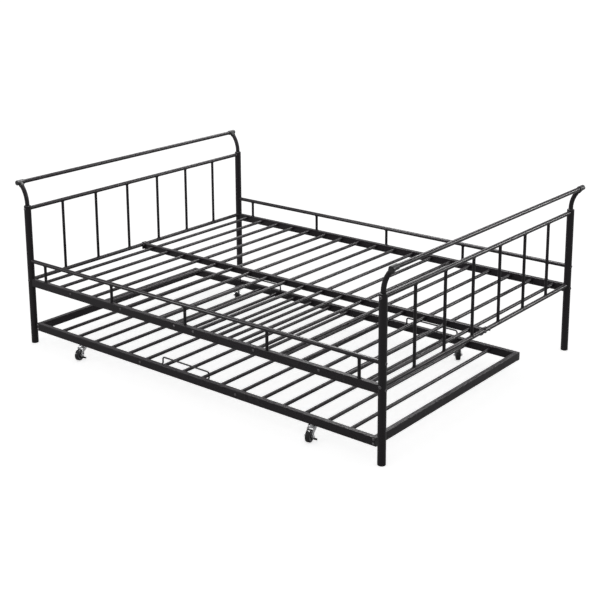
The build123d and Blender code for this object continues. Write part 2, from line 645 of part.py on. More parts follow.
def trundle_rail_caps():
    """The plastic plugs in the open ends of the front and back rails."""
    found = []
    plug_x = TRUNDLE_HALF - TRUNDLE_CAP_T
    plug_length = min(TRUNDLE_CAP_PLUG, plug_x - END_RAIL_X - BOLT_R - 1)
    for y in (FRONT_RAIL_Y, BACK_RAIL_Y):
        for sx in (-1, 1):
            face = across_x(sx * plug_x, y, TRUNDLE_MID_Z)
            outline = RectangleRounded(TRUNDLE_RAIL_W, TRUNDLE_RAIL_H, BOX_CORNER_R)
            cap = extrude(face * outline, sx * TRUNDLE_CAP_T)
            section = box_bore(TRUNDLE_RAIL_W, TRUNDLE_RAIL_H, SLIP_GAP)
            plug = extrude(face * section, -sx * plug_length)
            found.append(cap + plug)
    return found


def trundle_slats():
    """The round slats, from outer wall to outer wall."""
    start = TRUNDLE_FRONT_Y + BOX_WALL
    length = TRUNDLE_DEPTH - 2 * BOX_WALL
    return [
        tube_along((0, 1, 0), (x, start, TRUNDLE_SLAT_Z), length, SLAT_R, SLAT_WALL)
        for x in slat_xs(TRUNDLE_SLATS, TRUNDLE_SLAT_PITCH)
    ]


def trundle_slat_inserts():
    """The plugs of the bolted slats of the trundle."""
    walls = ((TRUNDLE_FRONT_Y + BOX_WALL, 1), (TRUNDLE_BACK_Y - BOX_WALL, -1))
    xs = bolted_xs(TRUNDLE_BOLTED_SLATS, TRUNDLE_SLAT_PITCH)
    return [slat_insert(x, y, TRUNDLE_SLAT_Z, inwards) for y, inwards in walls for x in xs]


def trundle_slat_bolts():
    """The bolts of the bolted slats of the trundle."""
    faces = ((TRUNDLE_FRONT_Y, -1), (TRUNDLE_BACK_Y, 1))
    xs = bolted_xs(TRUNDLE_BOLTED_SLATS, TRUNDLE_SLAT_PITCH)
    return [slat_bolt(x, y, TRUNDLE_SLAT_Z, outwards) for y, outwards in faces for x in xs]


def mattress_stop(x, face_y, y, rise):
    """A bent wire that comes out of a trundle rail's inner face and keeps the mattress from sliding off."""
    left = x - STOP_WIDTH / 2
    right = x + STOP_WIDTH / 2
    top = TRUNDLE_TOP + rise
    foot = TRUNDLE_TOP - STOP_FOOT_DROP
    leg = [(face_y, foot), (y, foot), (y, top)]
    corners = [(left, across, up) for across, up in leg] + [(right, across, up) for across, up in reversed(leg)]
    radii = [STOP_FOOT_BEND_R, STOP_BEND_R, STOP_BEND_R, STOP_FOOT_BEND_R]
    path = FilletPolyline(*corners, radius=radii)
    start = Plane(origin=corners[0], z_dir=(0, y - face_y, 0))
    return sweep(start * Circle(STOP_WIRE_R), path=path)


# ---------------------------------------------------------------- casters
CHEEK_INNER = WHEEL_HALF_W + FORK_SIDE_GAP
CHEEK_OUTER = CHEEK_INNER + FORK_T
AXLE_Z = WHEEL_R


def placed(shape, x, y, swivel_deg):
    """A caster piece, made about its own swivel axis, turned and put under the rail."""
    return Pos(x, y, 0) * Rot(0, 0, swivel_deg) * shape


def caster_stem():
    """The threaded stud, hexagonal collar, upper race and king pin of a caster."""
    race_z = FORK_CROWN_TOP + RACE_GAP
    stud = Pos(0, 0, race_z) * Cylinder(KING_PIN_R, TRUNDLE_BOTTOM - race_z + STUD_LENGTH, align=UP)
    hexagon = RegularPolygon(COLLAR_AF / 2, 6, major_radius=False)
    collar = Pos(0, 0, race_z) * extrude(hexagon, TRUNDLE_BOTTOM - race_z)
    race = Pos(0, 0, race_z) * Cylinder(RACE_R, RACE_T, align=UP)
    pin_bottom = FORK_CROWN_TOP - FORK_CROWN_T - RACE_GAP
    pin = Pos(0, 0, pin_bottom) * Cylinder(KING_PIN_R, race_z - pin_bottom, align=UP)
    rivet = Pos(0, 0, pin_bottom - RIVET_T) * Cylinder(RIVET_R, RIVET_T, align=UP)
    return stud + collar + race + pin + rivet


def cheek_outline():
    """The side view of a fork cheek: from under the crown, sweeping back to the axle."""
    top = FORK_CROWN_TOP
    shoulder = top - CHEEK_SHOULDER
    boss = (-TRAIL, AXLE_Z)
    points = [
        (-FORK_CROWN_R, top),
        (-FORK_CROWN_R - CHEEK_SWEEP, shoulder),
        (boss[0] - FORK_BOSS_R, boss[1]),
        (boss[0] + FORK_BOSS_R, boss[1]),
        (FORK_CROWN_R - CHEEK_SWEEP, shoulder),
        (FORK_CROWN_R - CHEEK_SWEEP / 2, top),
    ]
    return make_face(Polyline(*points, close=True)) + Pos(*boss) * Circle(FORK_BOSS_R)


def caster_fork():
    """The bent steel fork that swivels under the stem."""
    crown_bottom = FORK_CROWN_TOP - FORK_CROWN_T
    disc = Pos(0, 0, crown_bottom) * Cylinder(FORK_CROWN_R, FORK_CROWN_T, align=UP)
    bridge_depth = 2 * FORK_CROWN_R - CHEEK_SWEEP / 2
    bridge_y = FORK_CROWN_R - CHEEK_SWEEP / 2 - bridge_depth / 2
    bridge = Pos(0, bridge_y, crown_bottom) * Box(2 * CHEEK_OUTER, bridge_depth, FORK_CROWN_T, align=UP)
    fork = disc + bridge
    for sx in (-1, 1):
        inner = sx * CHEEK_INNER
        fork = fork + extrude(across_x(inner, 0, 0) * cheek_outline(), sx * FORK_T)
    pin_room = Pos(0, 0, crown_bottom - 1) * Cylinder(KING_PIN_R + AXLE_GAP, FORK_CROWN_T + 2, align=UP)
    axle_room = rod_along((1, 0, 0), (-CHEEK_OUTER, -TRAIL, AXLE_Z), 2 * CHEEK_OUTER, AXLE_R + THREAD_GAP)
    return fork - pin_room - axle_room


def caster_axle(has_pedal):
    """The axle bolt and its nut."""
    outer = CHEEK_OUTER + (PEDAL_T + 2 * PEDAL_GAP if has_pedal else 0)
    length = CHEEK_OUTER + outer + NUT_H + 1
    shank = rod_along((1, 0, 0), (-CHEEK_OUTER, -TRAIL, AXLE_Z), length, AXLE_R)
    hexagon = RegularPolygon(NUT_AF / 2, 6, major_radius=False)
    head = extrude(across_x(-CHEEK_OUTER, -TRAIL, AXLE_Z) * hexagon, -(NUT_H - 1))
    nut = extrude(across_x(outer, -TRAIL, AXLE_Z) * (hexagon - Circle(AXLE_R + THREAD_GAP)), NUT_H)
    return [shank + head, nut]


def caster_wheel():
    """A one-piece wheel with dished sides and a crowned tread, about its axle."""
    hub_half = CHEEK_INNER - FORK_HUB_GAP
    bore = AXLE_R + AXLE_GAP
    rim_inner = WHEEL_R - WHEEL_RIM
    web = WHEEL_HALF_W - WHEEL_DISH
    half = [
        (bore, 0),
        (bore, hub_half),
        (HUB_R, hub_half),
        (HUB_R + 1, web),
        (rim_inner, web),
        (rim_inner + 1, WHEEL_HALF_W),
        (WHEEL_R - WHEEL_EDGE, WHEEL_HALF_W),
        (WHEEL_R, WHEEL_HALF_W - WHEEL_EDGE),
    ]
    outline = half + [(r, -w) for r, w in reversed(half[1:])]
    section = make_face(Polyline(*outline, close=True))
    wheel = revolve(section, Axis.Y, 360)
    return Pos(0, -TRAIL, AXLE_Z) * Rot(0, 0, -90) * wheel


def brake_pedal():
    """A lever on the axle, outside the fork, with a tab for the toe."""
    inner = CHEEK_OUTER + PEDAL_GAP
    centre = (-TRAIL, AXLE_Z)
    side = across_x(inner, 0, 0)
    arm = Vector(PEDAL_REACH, 0).rotate(Axis.Z, -PEDAL_DROP_DEG)
    tip = (centre[0] + arm.X, centre[1] + arm.Y)
    eye = Pos(*centre) * Circle(PEDAL_EYE_R)
    hole = Pos(*centre) * Circle(AXLE_R + AXLE_GAP)
    leaning = Rot(0, 0, -PEDAL_DROP_DEG)
    lever = Pos((centre[0] + tip[0]) / 2, (centre[1] + tip[1]) / 2) * leaning
    lever = lever * Rectangle(PEDAL_REACH, PEDAL_TAB_W)
    plate = extrude(side * (eye + lever - hole), PEDAL_T)
    tab = Pos(*tip) * leaning * Rectangle(PEDAL_T, PEDAL_TAB_W)
    return plate + extrude(side * tab, PEDAL_TAB_OUT)


def caster_places():
    """Name, X, Y, swivel angle and whether it has a brake, for each caster."""
    rows = []
    lines = (("front", FRONT_RAIL_Y, FRONT_SWIVEL_DEG), ("back", BACK_RAIL_Y, BACK_SWIVEL_DEG))
    for side, y, swivel in lines:
        for end, sx in ENDS:
            rows.append((f"caster_{side}_{end}", sx * CASTER_X, y, swivel, side == "front"))
    return rows


# ---------------------------------------------------------------- everything, by node
def build_nodes():
    """Every node's name with its solids."""
    nodes = {}
    corners = [(sx, sy) for sx in (-1, 1) for sy in (-1, 1)]
    for end, sx in ENDS:
        for side, sy in SIDES:
            nodes[f"post_{end}_{side}"] = [post(sx, sy)]
        nodes[f"{end}board_scroll_rail"] = [scroll_rail(sx)]
        nodes[f"{end}board_upper_rail"] = [cross_rail(sx, UPPER_RAIL_Z)]
        nodes[f"{end}board_lower_rail"] = [lower_cross_rail(sx)]
        nodes[f"{end}board_spindles"] = spindles(sx)
        nodes[f"trundle_{end}_rail"] = [trundle_end_rail(sx)]
    for side, sy in SIDES:
        nodes[f"side_rail_{side}"] = [side_rail(sy)]
        nodes[f"guard_rail_{side}"] = [guard_rail(sy)]
        nodes[f"guard_uprights_{side}"] = guard_uprights(sy)
        nodes[f"slats_{side}"] = bed_slats(sy)
        nodes[f"trundle_{side}_rail"] = [trundle_long_rail(sy)]
    nodes["foot_caps"] = [foot_cap(sx, sy) for sx, sy in corners]
    nodes["post_bushes"] = [post_bush(sx, sy) for sx, sy in corners]
    nodes["scroll_arms"] = [scroll_arm(sx, sy) for sx, sy in corners]
    nodes["scroll_tees"] = [scroll_tee(sx, sy) for sx, sy in corners]
    nodes["tee_screws"] = [tee_screw(sx, sy) for sx, sy in corners]
    nodes["centre_rail"] = [centre_rail()]
    nodes["centre_rail_hooks"] = [centre_rail_hook(sx) for sx in (-1, 1)]
    nodes["hook_bolts"] = hook_fasteners(-1) + hook_fasteners(1)
    nodes["slat_inserts"] = bed_slat_inserts()
    nodes["slat_bolts"] = bed_slat_bolts()
    nodes["rail_inserts"] = each_post(rail_insert)
    nodes["post_bolts"] = each_post(post_bolt)
    nodes["trundle_slats"] = trundle_slats()
    nodes["trundle_slat_inserts"] = trundle_slat_inserts()
    nodes["trundle_slat_bolts"] = trundle_slat_bolts()
    nodes["trundle_end_blocks"] = trundle_end_blocks()
    nodes["trundle_corner_bolts"] = trundle_corner_bolts()
    nodes["trundle_rail_caps"] = trundle_rail_caps()
    front_stop_y = END_RAIL_START + FRONT_STOP_INSET
    back_stop_y = END_RAIL_END - BACK_STOP_INSET
    front_stop = mattress_stop(FRONT_STOP_X, END_RAIL_START, front_stop_y, FRONT_STOP_RISE)
    back_head_stop = mattress_stop(BACK_STOP_HEAD_X, END_RAIL_END, back_stop_y, BACK_STOP_RISE)
    back_foot_stop = mattress_stop(BACK_STOP_FOOT_X, END_RAIL_END, back_stop_y, BACK_STOP_RISE)
    nodes["mattress_stop_front"] = [front_stop]
    nodes["mattress_stop_back_head"] = [back_head_stop]
    nodes["mattress_stop_back_foot"] = [back_foot_stop]
    nodes["caster_stems"] = [placed(caster_stem(), x, y, 0) for _, x, y, _, _ in caster_places()]
    for name, x, y, swivel, has_pedal in caster_places():
        nodes[f"{name}_fork"] = [placed(caster_fork(), x, y, swivel)]
        nodes[f"{name}_axle"] = [placed(piece, x, y, swivel) for piece in caster_axle(has_pedal)]
        nodes[f"{name}_wheel"] = [placed(caster_wheel(), x, y, swivel)]
        if has_pedal:
            nodes[f"{name}_pedal"] = [placed(brake_pedal(), x, y, swivel)]
    return nodes


os.makedirs("parts", exist_ok=True)
for node_name, pieces in build_nodes().items():
    solids = [solid for piece in pieces for solid in piece.solids()]
    export_step(Compound(children=solids) if len(solids) > 1 else solids[0], f"parts/{node_name}.step")
print(f"scroll rail axis at x {SCROLL_X:.1f}, z {SCROLL_Z:.1f}")
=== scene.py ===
# %% [markdown]
# # A tubular steel bed with a trundle under it
#
# The bed is welded and bolted from thin steel tube, coated in satin black powder paint.
# A second, lower frame on four casters rolls out from under its front side.
# Most of the shape is already exact, because the engineering model gives every tube, rail and
# slat. What is left for Blender is what makes painted steel believable: the skin of the
# paint, the weld beads, the heads of the bolts, and the pressed steel of the casters.

# %% Load the frame
import json
import math
import random

import bmesh
import bpy
from mathutils import Matrix, Vector


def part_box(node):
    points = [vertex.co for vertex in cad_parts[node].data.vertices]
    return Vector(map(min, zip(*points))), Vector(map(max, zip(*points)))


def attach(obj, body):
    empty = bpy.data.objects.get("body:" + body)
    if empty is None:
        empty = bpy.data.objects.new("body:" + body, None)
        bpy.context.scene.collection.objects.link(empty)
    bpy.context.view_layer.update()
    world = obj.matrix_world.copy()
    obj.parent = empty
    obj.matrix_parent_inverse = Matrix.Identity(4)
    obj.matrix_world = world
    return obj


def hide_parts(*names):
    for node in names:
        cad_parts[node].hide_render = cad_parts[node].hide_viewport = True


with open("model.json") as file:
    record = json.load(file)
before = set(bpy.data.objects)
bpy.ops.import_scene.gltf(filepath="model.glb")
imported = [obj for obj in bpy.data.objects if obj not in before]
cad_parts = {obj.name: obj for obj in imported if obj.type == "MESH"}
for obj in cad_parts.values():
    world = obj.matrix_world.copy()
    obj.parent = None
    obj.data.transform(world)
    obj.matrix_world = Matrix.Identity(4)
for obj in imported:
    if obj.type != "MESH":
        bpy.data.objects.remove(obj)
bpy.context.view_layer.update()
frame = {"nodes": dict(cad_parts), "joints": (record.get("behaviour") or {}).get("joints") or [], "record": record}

# %% [markdown]
# ## Writing shaders as sums
#
# A node material is easier to read as arithmetic than as a list of links. One small class
# holds a socket, and each operator on it adds one Math node. Every other kind of node comes
# from one method, which takes the node's type, its settings and what goes into its sockets.


# %% A class for shader arithmetic
class Value:
    """One output socket, so that sums on it become Math nodes."""

    def __init__(self, paint, socket):
        self.paint = paint
        self.socket = socket

    def math(self, operation, other=None, swapped=False):
        pair = [self, other] if other is not None else [self]
        if swapped:
            pair.reverse()
        return self.paint.node("ShaderNodeMath", {"operation": operation}, dict(enumerate(pair)))

    def __add__(self, other):
        return self.math("ADD", other)

    def __radd__(self, other):
        return self.math("ADD", other, swapped=True)

    def __sub__(self, other):
        return self.math("SUBTRACT", other)

    def __rsub__(self, other):
        return self.math("SUBTRACT", other, swapped=True)

    def __mul__(self, other):
        return self.math("MULTIPLY", other)

    def __rmul__(self, other):
        return self.math("MULTIPLY", other, swapped=True)

    def out(self, name):
        """Another output of the same node."""
        return Value(self.paint, self.socket.node.outputs[name])


class Paint:
    """A material with its node tree, ready for a Principled surface."""

    def __init__(self, name):
        self.material = bpy.data.materials.new(name)
        self.material.use_nodes = True
        self.tree = self.material.node_tree
        self.surface = next(n for n in self.tree.nodes if n.type == "BSDF_PRINCIPLED")

    def node(self, kind, settings, inputs):
        made = self.tree.nodes.new(kind)
        for key, value in settings.items():
            if key == "stops":
                self.ramp(made.color_ramp, value)
            else:
                setattr(made, key, value)
        for key, value in inputs.items():
            self.feed(made.inputs[key], value)
        return Value(self, made.outputs[0])

    def ramp(self, ramp, stops):
        while len(ramp.elements) < len(stops):
            ramp.elements.new(1.0)
        for element, (place, colour) in zip(ramp.elements, stops):
            element.position = place
            element.color = (*colour, 1.0)

    def feed(self, socket, value):
        if isinstance(value, Value):
            self.tree.links.new(value.socket, socket)
        else:
            socket.default_value = value

    def set(self, **inputs):
        """Values and links of the surface itself; an underscore stands for a space."""
        for key, value in inputs.items():
            self.feed(self.surface.inputs[key.replace("_", " ")], value)

    def place(self):
        return self.node("ShaderNodeTexCoord", {}, {}).out("Object")

    def noise(self, scale, detail=2.0, roughness=0.5):
        """Soft noise on the object's own coordinates; scale is in lumps per metre."""
        inputs = {"Vector": self.place(), "Scale": scale, "Detail": detail, "Roughness": roughness}
        return self.node("ShaderNodeTexNoise", {}, inputs)

    def between(self, mask, low, high):
        """A colour between two, by a mask."""
        inputs = {"Factor": mask, 6: (*low, 1.0), 7: (*high, 1.0)}
        mixed = self.node("ShaderNodeMix", {"data_type": "RGBA"}, inputs)
        return mixed.out(2)

    def steps(self, value, low, high):
        """0 under low and 1 over high, smoothly between."""
        settings = {"interpolation_type": "SMOOTHSTEP"}
        inputs = {"Value": value, "From Min": low, "From Max": high, "To Min": 0.0, "To Max": 1.0}
        return self.node("ShaderNodeMapRange", settings, inputs)

    def bump(self, height, strength, distance):
        inputs = {"Height": height, "Strength": strength, "Distance": distance}
        return self.node("ShaderNodeBump", {}, inputs)


print("shader helpers ready")

# %% [markdown]
# ## Powder coat
#
# Powder paint is sprayed on as dust and baked, so it never dries quite flat: it keeps a fine
# orange peel of about two millimetres, with a much finer grain in it. Its colour isn't a pure
# black but a very dark grey with a trace of violet. One flat colour and a gloss would look like
# wet plastic. Three noises, each at the size of what it stands for, do better: the peel and the
# grain bend the light, and a slow cloud changes the gloss a little from place to place, as a
# hand that has touched the tube does.


# %% Satin black powder coat
def powder_coat(name, dark, light, gloss):
    paint = Paint(name)
    peel = paint.noise(420.0, 2.0)
    grain = paint.noise(2100.0, 1.0)
    cloud = paint.noise(7.0, 3.0)
    speck = paint.steps(grain, 0.52, 0.72)
    tone = cloud * 0.7 + speck * 0.3
    paint.set(Base_Color=paint.between(tone, dark, light))
    paint.set(Roughness=gloss + cloud * 0.10 + speck * 0.06)
    paint.set(Normal=paint.bump(peel * 0.7 + grain * 0.3, 0.22, 0.0005))
    paint.set(Specular_IOR_Level=0.3)
    return paint.material


steel_black = powder_coat(
    "satin black powder coat", dark=(0.0100, 0.0084, 0.0100), light=(0.0195, 0.0168, 0.0195), gloss=0.22
)
print(steel_black.name, len(steel_black.node_tree.nodes), "nodes")

# %% [markdown]
# ## The other finishes
#
# The bolts are dipped black, a little shinier than the paint. The end caps, sleeves and foot
# caps are moulded plastic with a fine, even grain. The casters' pressed steel is plated with
# bright zinc, which is a metal with faint cloudy crystals in it. The wheels are hard black
# plastic, and a grey ring on their sides is a painted highlight of the glossy plastic.


# %% Bolts, plastics and zinc
def black_oxide():
    paint = Paint("black oxide bolts")
    cloud = paint.noise(90.0, 2.0)
    paint.set(Base_Color=paint.between(cloud, (0.10, 0.095, 0.10), (0.20, 0.19, 0.20)))
    paint.set(Roughness=0.24 + cloud * 0.16, Metallic=0.8)
    paint.set(Normal=paint.bump(paint.noise(1600.0), 0.08, 0.0003))
    return paint.material


def moulded_plastic(name, dark, light, rough):
    paint = Paint(name)
    grain = paint.noise(1500.0, 3.0)
    cloud = paint.noise(40.0, 1.0)
    paint.set(Base_Color=paint.between(cloud, dark, light))
    paint.set(Roughness=rough + grain * 0.12)
    paint.set(Normal=paint.bump(grain, 0.15, 0.0003))
    return paint.material


def bright_zinc():
    paint = Paint("bright zinc plate")
    crystal = paint.noise(260.0, 3.0, 0.6)
    streak = paint.noise(60.0, 2.0)
    paint.set(Base_Color=paint.between(crystal, (0.80, 0.81, 0.83), (0.95, 0.95, 0.96)))
    paint.set(Roughness=0.18 + streak * 0.14 + crystal * 0.05, Metallic=1.0)
    paint.set(Normal=paint.bump(crystal, 0.06, 0.0004))
    return paint.material


bolt_black = black_oxide()
plastic_black = moulded_plastic("grained black plastic", (0.010, 0.010, 0.011), (0.020, 0.020, 0.021), 0.38)
plastic_plug = moulded_plastic("grey plug plastic", (0.03, 0.03, 0.03), (0.06, 0.06, 0.06), 0.5)
plastic_wheel = moulded_plastic("glossy wheel plastic", (0.006, 0.006, 0.007), (0.014, 0.014, 0.015), 0.16)
# The grey ring's colour is a painted highlight, standing for the sheen of the glossy black wheel.
painted_highlight_grey = moulded_plastic("grey ring painted as wheel highlight", (0.16, 0.16, 0.18), (0.24, 0.24, 0.26), 0.34)
zinc = bright_zinc()
finishes = {
    "powder_coat": steel_black,
    "black_bolts": bolt_black,
    "black_plastic": plastic_black,
    "insert_plastic": plastic_plug,
    "wheel_plastic": plastic_wheel,
    "zinc": zinc,
}
slot_of = {part["node"]: part["material_slot"] for part in frame["record"]["subparts"]}
for node, shape in frame["nodes"].items():
    shape.data.materials.clear()
    shape.data.materials.append(finishes[slot_of[node]])
print("painted", len(slot_of), "nodes with", len(finishes), "finishes")

# %% [markdown]
# ## How a new piece joins the bed
#
# Every new piece is built in a bmesh, at its final place, and handed to one helper. The helper
# smooths it, gives it a finish, and lets it ride on the part of the bed that carries it. Small
# things that repeat, such as bolts, are built once as a pattern and stamped at each place.


# %% Helpers for pieces
MM = 0.001


def finish_piece(name, form, finish, body, instead_of=(), sharp=40.0):
    """Turns a bmesh into an object that rides on a body."""
    bmesh.ops.recalc_face_normals(form, faces=form.faces)
    data = bpy.data.meshes.new(name)
    form.to_mesh(data)
    form.free()
    data.shade_smooth()
    data.set_sharp_from_angle(angle=math.radians(sharp))
    data.materials.append(finish)
    made = bpy.data.objects.new(name, data)
    bpy.context.scene.collection.objects.link(made)
    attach(made, body)
    if instead_of:
        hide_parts(*instead_of)
    print(name, len(data.polygons), "faces")
    return made


def stamp(form, pattern, place):
    """Adds a copy of a finished pattern to form, at a place given as a matrix."""
    before = len(form.verts)
    form.from_mesh(pattern)
    form.verts.ensure_lookup_table()
    bmesh.ops.transform(form, matrix=place, verts=form.verts[before:])


def pattern_of(form):
    """Keeps a bmesh as a mesh to stamp from."""
    bmesh.ops.recalc_face_normals(form, faces=form.faces)
    data = bpy.data.meshes.new("pattern")
    form.to_mesh(data)
    form.free()
    return data


def facing(place, direction, spin=0.0):
    """A matrix that puts a pattern's +Z along a direction."""
    turn = Vector(direction).to_track_quat("Z", "Y").to_matrix().to_4x4()
    return Matrix.Translation(place) @ turn @ Matrix.Rotation(spin, 4, "Z")


def turned(profile, steps, close=False):
    """A solid of revolution about Z from (radius, height) points in millimetres."""
    form = bmesh.new()
    points = [form.verts.new((r * MM, 0, z * MM)) for r, z in profile]
    pairs = list(zip(points, points[1:]))
    if close:
        pairs.append((points[-1], points[0]))
    edges = [form.edges.new(pair) for pair in pairs]
    section = points + edges
    up = (0, 0, 1)
    bmesh.ops.spin(form, geom=section, cent=(0, 0, 0), axis=up, angle=math.tau, steps=steps, use_merge=True)
    bmesh.ops.remove_doubles(form, verts=form.verts, dist=1e-7)
    return form


# %% [markdown]
# ## Weld beads
#
# Each spindle is welded all round where it meets a rail, and the powder paint covers the weld.
# A bead is a small ring with ripples, one ripple for each drop of the welding wire. Where a
# tube meets a round rail the joint line isn't flat: it is a saddle. So the ring is spun flat,
# and then each of its points is lifted by the height of the rail under it.


# %% Weld beads
def bead_pattern(tube_radius, rail_radius, bead_radius, seed):
    """A rippled ring round a tube that stands on a rail along Y; the rail's axis is at height 0."""
    dice = random.Random(seed)
    start = dice.uniform(0, math.tau)
    ring_radius = tube_radius + bead_radius * 0.35
    circle = [
        (ring_radius + bead_radius * math.cos(a), bead_radius * math.sin(a))
        for a in [i * math.tau / 8 for i in range(8)]
    ]
    form = turned(circle, 44, close=True)
    for point in form.verts:
        angle = math.atan2(point.co.y, point.co.x)
        middle = Vector((math.cos(angle), math.sin(angle), 0)) * ring_radius * MM
        ripple = 1 + 0.16 * math.sin(11 * angle + start) + 0.06 * math.sin(5 * angle)
        point.co = middle + (point.co - middle) * ripple
        across = min(abs(point.co.x) / MM, rail_radius) if rail_radius else 0.0
        lift = math.sqrt(rail_radius**2 - across**2) if rail_radius else 0.0
        point.co.z += (lift + bead_radius * 0.25) * MM
    return pattern_of(form)


def centre_of(node):
    low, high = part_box(node)
    return (low + high) / 2


def row_of(node, axis, count, radius):
    """Places of tubes that stand in a row, from the row's own box."""
    low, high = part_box(node)
    first, last = low[axis] + radius, high[axis] - radius
    return [first + (last - first) * i / (count - 1) for i in range(count)]


SPINDLE_R, RAIL_R, BEAD_R = 6.5, 9.0, 1.9
saddle_beads = [bead_pattern(SPINDLE_R, RAIL_R, BEAD_R, seed) for seed in range(4)]
flat_beads = [bead_pattern(SPINDLE_R, 0.0, BEAD_R, seed) for seed in range(4)]
for end in ("head", "foot"):
    welds = bmesh.new()
    low_rail, top_rail = centre_of(end + "board_lower_rail"), centre_of(end + "board_upper_rail")
    for i, y in enumerate(row_of(end + "board_spindles", 1, 6, SPINDLE_R * MM)):
        stamp(welds, saddle_beads[i % 4], facing((low_rail.x, y, low_rail.z), (0, 0, 1)))
        flip = Matrix.Translation((top_rail.x, y, top_rail.z)) @ Matrix.Rotation(math.pi, 4, "Y")
        stamp(welds, saddle_beads[(i + 1) % 4], flip)
    finish_piece(end + "board_weld_beads", welds, steel_black, "bed_frame", sharp=80)
for side in ("front", "back"):
    welds = bmesh.new()
    rail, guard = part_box("side_rail_" + side)[1], centre_of("guard_rail_" + side)
    for i, x in enumerate(row_of("guard_uprights_" + side, 0, 5, SPINDLE_R * MM)):
        stamp(welds, flat_beads[i % 4], facing((x, guard.y, rail.z), (0, 0, 1)))
        over = Matrix.Translation((x, guard.y, guard.z)) @ Matrix.Rotation(math.pi, 4, "Y")
        stamp(welds, saddle_beads[i % 4], over @ Matrix.Rotation(math.pi / 2, 4, "Z"))
    finish_piece("guard_weld_beads_" + side, welds, steel_black, "bed_frame", sharp=80)

# %% [markdown]
# ## Bolts with a hexagon socket
#
# A flat-pack bed is put together with button-head bolts and a hexagon key. The head is a low
# dome with a washer face under it, and a six-sided socket sunk into it. Each ring of the head
# is extruded from the last, and the socket's rings are pulled from a circle into a hexagon, so
# the socket's walls join the dome without a cut.


# %% A bolt, ring by ring
def hexagon_reach(angle, across_flats):
    """Distance from the middle to the side of a hexagon at an angle."""
    step = math.pi / 3
    return across_flats / 2 / math.cos((angle + step / 2) % step - step / 2)


def ringed(rings, segments=36):
    """Rings of (size, height, is_hexagon) in millimetres, joined in order and closed at both ends."""
    form = bmesh.new()
    made = bmesh.ops.create_circle(form, cap_ends=True, segments=segments, radius=1.0)
    points = made["verts"]
    edges = list({edge for point in points for edge in point.link_edges})
    angles = [math.atan2(point.co.y, point.co.x) for point in points]
    for number, (size, height, is_hexagon) in enumerate(rings):
        if number:
            grown = bmesh.ops.extrude_edge_only(form, edges=edges)["geom"]
            edges = [g for g in grown if isinstance(g, bmesh.types.BMEdge)]
            points = [g for g in grown if isinstance(g, bmesh.types.BMVert)]
            angles = [math.atan2(point.co.y, point.co.x) for point in points]
        for point, angle in zip(points, angles):
            reach = hexagon_reach(angle, size) if is_hexagon else size
            point.co = Vector((math.cos(angle) * reach, math.sin(angle) * reach, height)) * MM
    bmesh.ops.edgeloop_fill(form, edges=edges)
    return form


DOME_LEAN = math.radians(58)  # how far round the dome goes before the socket starts
DOME_FOOT = 0.35  # height of the straight edge under the dome
KEY_SHARE = 0.72  # the socket's width across its flats, as a share of the head's radius


def button_bolt(head_r, head_h, shank_r, shank_l):
    """A button-head bolt, its head's seat at height 0 and its shank below."""
    key = head_r * KEY_SHARE
    rings = [(shank_r * 0.8, -shank_l, False), (shank_r, -shank_l + 0.8, False), (shank_r, 0, False)]
    rings += [(head_r - 0.15, 0, False)]
    for part in range(7):
        lean = part / 6 * DOME_LEAN
        height = DOME_FOOT + (head_h - DOME_FOOT) * math.sin(lean) / 0.848
        rings.append((head_r * math.cos(lean * 0.96), height, False))
    rings += [(key * 1.14, head_h, True), (key, head_h - 0.25, True)]
    rings += [(key, head_h * 0.35, True), (key * 0.5, head_h * 0.18, True)]
    return pattern_of(ringed(rings))


post_bolt = button_bolt(6.5, 3.6, 3.0, 46.0)
slat_bolt = button_bolt(5.5, 2.4, 3.0, 15.0)
corner_bolt = button_bolt(5.5, 2.4, 3.0, 37.0)
tee_screw = button_bolt(4.0, 2.0, 2.5, 5.0)
print("bolt patterns", len(post_bolt.polygons), len(slat_bolt.polygons))

# %% [markdown]
# ## Where the bolts go
#
# A bolt sits wherever a rail's end meets a post, and wherever a slat is bolted to a rail. Its
# place could be typed in, but then it would be wrong as soon as a rail moved. So each place is
# read from the boxes of the parts that the bolt joins. Each head also gets a different turn
# about its own axis, because nobody stops the key at the same angle twice.

# %% Bolts through the posts
POST_R = 16.0
SEAT_DEPTH = 0.9  # how far the flat under a bolt's head is cut into the round post
bolts = bmesh.new()
corners = [(sx, sy) for sx in (-1, 1) for sy in (-1, 1)]
post_place = {}
for end, sx in (("head", -1), ("foot", 1)):
    for side, sy in (("front", -1), ("back", 1)):
        post_place[sx, sy] = centre_of("post_" + end + "_" + side)
heights = {
    "upper": centre_of("headboard_upper_rail").z,
    "lower": centre_of("headboard_lower_rail").z,
    "guard": centre_of("guard_rail_front").z,
    "side": centre_of("side_rail_front").z,
}
for number, (sx, sy) in enumerate(corners):
    at = post_place[sx, sy]
    across, along = (0, sy, 0), (sx, 0, 0)
    for name, outwards in (("upper", across), ("lower", across), ("guard", along), ("side", along)):
        seat = Vector((at.x, at.y, heights[name])) + Vector(outwards) * (POST_R - SEAT_DEPTH) * MM
        stamp(bolts, post_bolt, facing(seat, outwards, spin=0.7 * number + 0.3))
finish_piece("post_bolts_with_sockets", bolts, bolt_black, "bed_frame", ["post_bolts"])

# %% Bolts through the rails and tees
SLAT_D = 15 * MM
BOLTED_SLATS = (-6.5, -3.5, -0.5, 0.5, 3.5, 6.5)  # in slat pitches from the middle
TEE_HEAD_R, TEE_HEAD_H = 4.0, 2.6


def pitch_of(node, count):
    """Distance between neighbours in a row of slats."""
    low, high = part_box(node)
    return (high.x - low.x - SLAT_D) / (count - 1)


